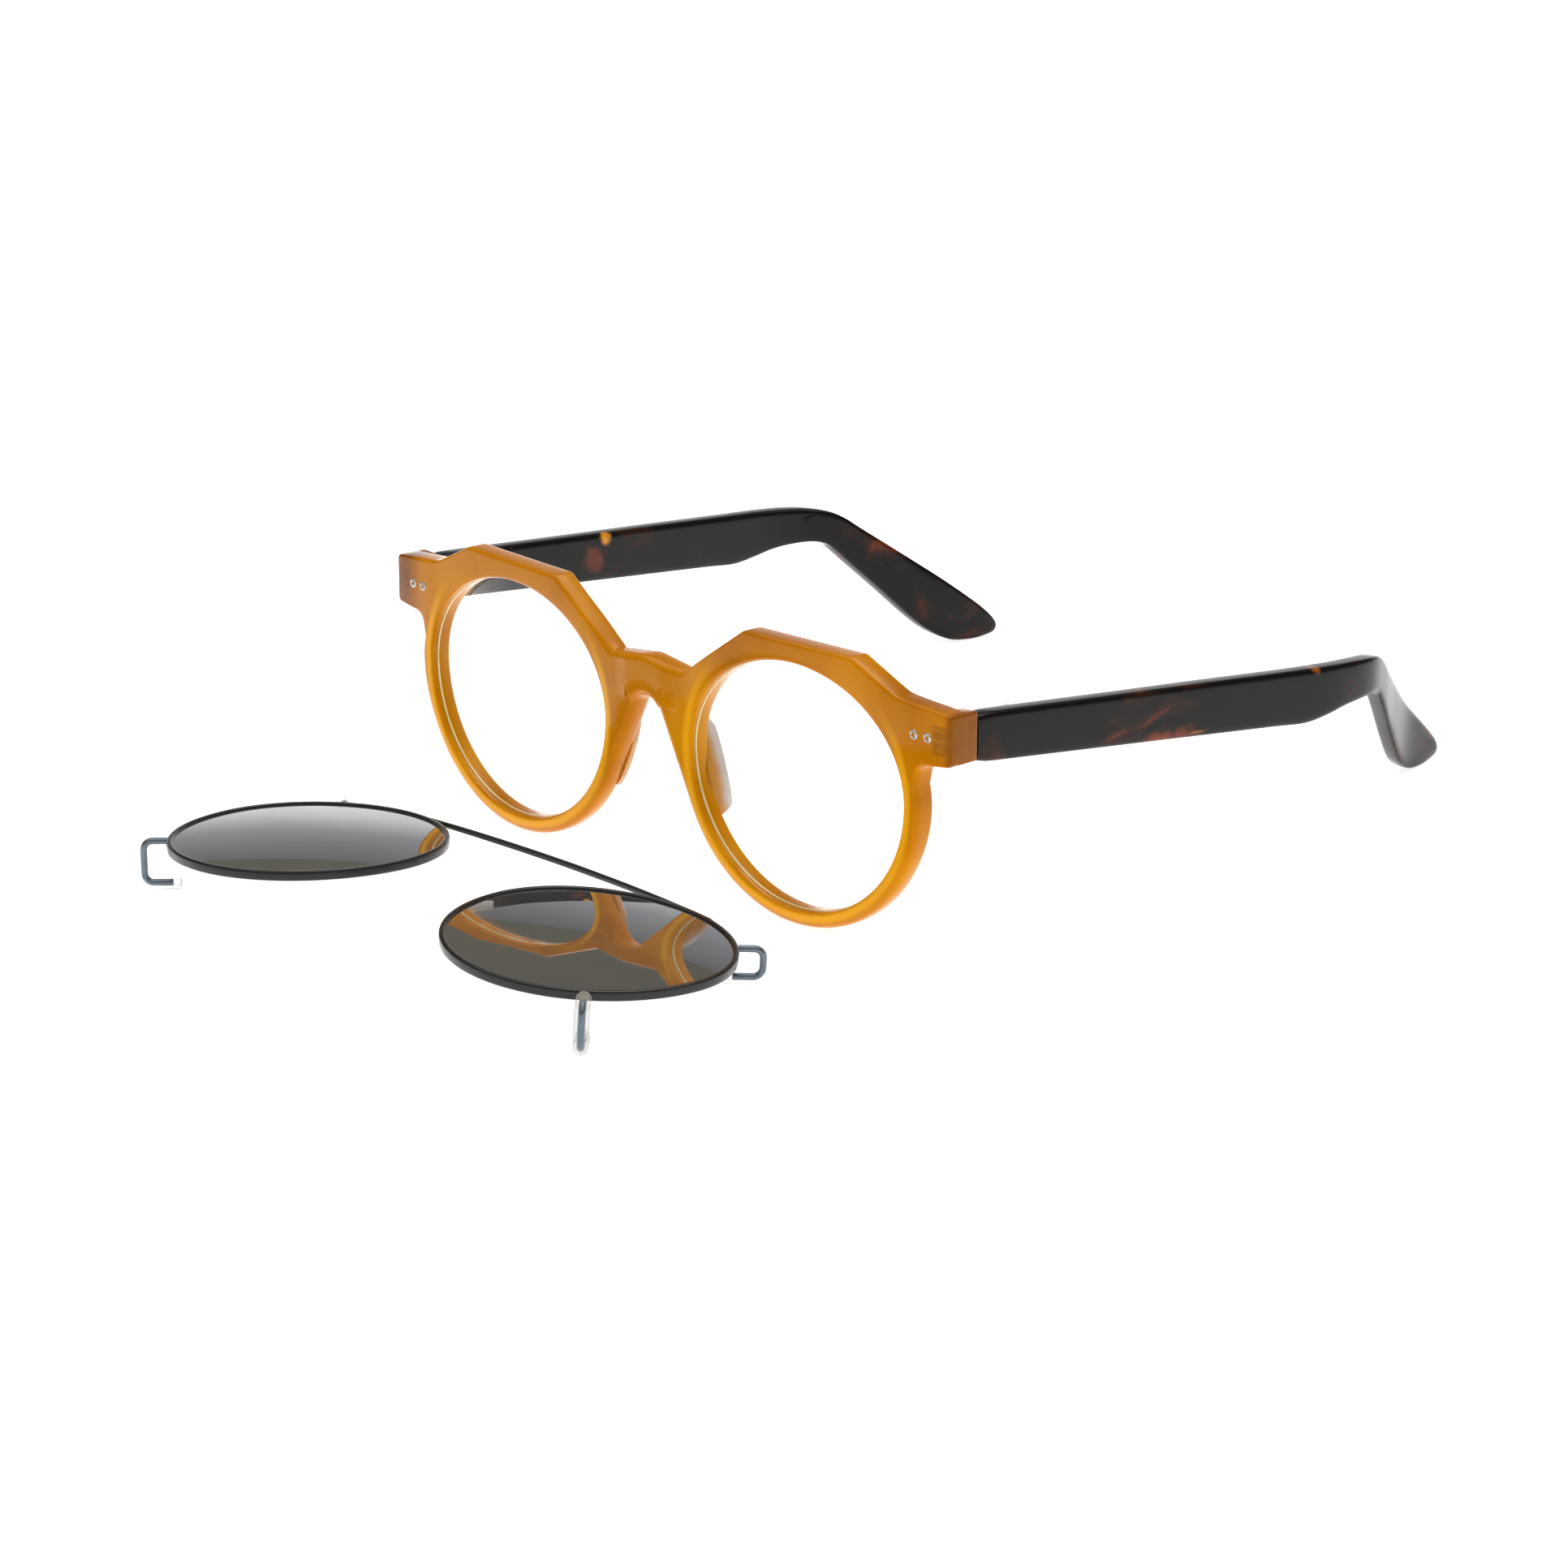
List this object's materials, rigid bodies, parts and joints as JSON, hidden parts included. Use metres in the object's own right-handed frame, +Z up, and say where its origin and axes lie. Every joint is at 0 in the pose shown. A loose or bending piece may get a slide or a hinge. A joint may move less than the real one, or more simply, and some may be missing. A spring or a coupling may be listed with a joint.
{
  "type": "spectacles with clip-on",
  "caption": "Round crown-topped acetate spectacles with folding temples and a detached metal clip-on sun attachment lying in front of them on its hooks.",
  "frame": {"origin": "middle of the set's footprint, on the table it stands on", "axes": "+Z up; +Y from the front towards the temple tips; +X towards the wearer's left"},
  "size_m": [0.1426, 0.1952, 0.0467],
  "materials": {
    "amber_acetate": "polished, translucent honey amber",
    "demo_lens": "clear",
    "nose_pad": "polished, translucent whitish grey",
    "rivet_steel": "polished",
    "dark_hinge": "dark satin",
    "screw_steel": "polished",
    "light_hinge": "satin",
    "tortoise_acetate": "polished dark tortoiseshell",
    "core_steel": "satin",
    "black_metal": "black satin",
    "sun_lens": "smoke grey, polished",
    "hook_steel": "satin",
    "clear_sleeve": "clear, slightly cream"
  },
  "bodies": {
    "front": {"front": "amber_acetate", "left_demo_lens": "demo_lens", "left_nose_pad": "nose_pad", "left_rivets": "rivet_steel", "left_front_leaf": "dark_hinge", "left_hinge_screw": "screw_steel", "right_demo_lens": "demo_lens", "right_nose_pad": "nose_pad", "right_rivets": "rivet_steel", "right_front_leaf": "dark_hinge", "right_hinge_screw": "screw_steel"},
    "left_temple": {"left_temple": "tortoise_acetate", "left_temple_leaf": "light_hinge", "left_core_wire": "core_steel"},
    "right_temple": {"right_temple": "tortoise_acetate", "right_temple_leaf": "light_hinge", "right_core_wire": "core_steel"},
    "clip": {"clip_bar": "black_metal", "left_clip_rim": "black_metal", "left_sun_lens": "sun_lens", "left_upper_hook": "hook_steel", "left_lower_hook": "hook_steel", "left_upper_sleeve": "clear_sleeve", "left_lower_sleeve": "clear_sleeve", "right_clip_rim": "black_metal", "right_sun_lens": "sun_lens", "right_upper_hook": "hook_steel", "right_lower_hook": "hook_steel", "right_upper_sleeve": "clear_sleeve", "right_lower_sleeve": "clear_sleeve"}
  },
  "joints": [
    {"name": "left_fold", "type": "hinge", "parent": "front", "child": "left_temple", "pos_m": [0.0619, -0.024, 0.03685], "axis": [0, 0.0419, 0.9991], "range_deg": [0, 84]},
    {"name": "right_fold", "type": "hinge", "parent": "front", "child": "right_temple", "pos_m": [-0.0619, -0.024, 0.03685], "axis": [0, -0.0419, -0.9991], "range_deg": [0, 66]},
    {"name": "clip_lift", "type": "slide", "parent": "front", "child": "clip", "axis": [0, 0, 1], "range_m": [0, 0.05]}
  ]
}
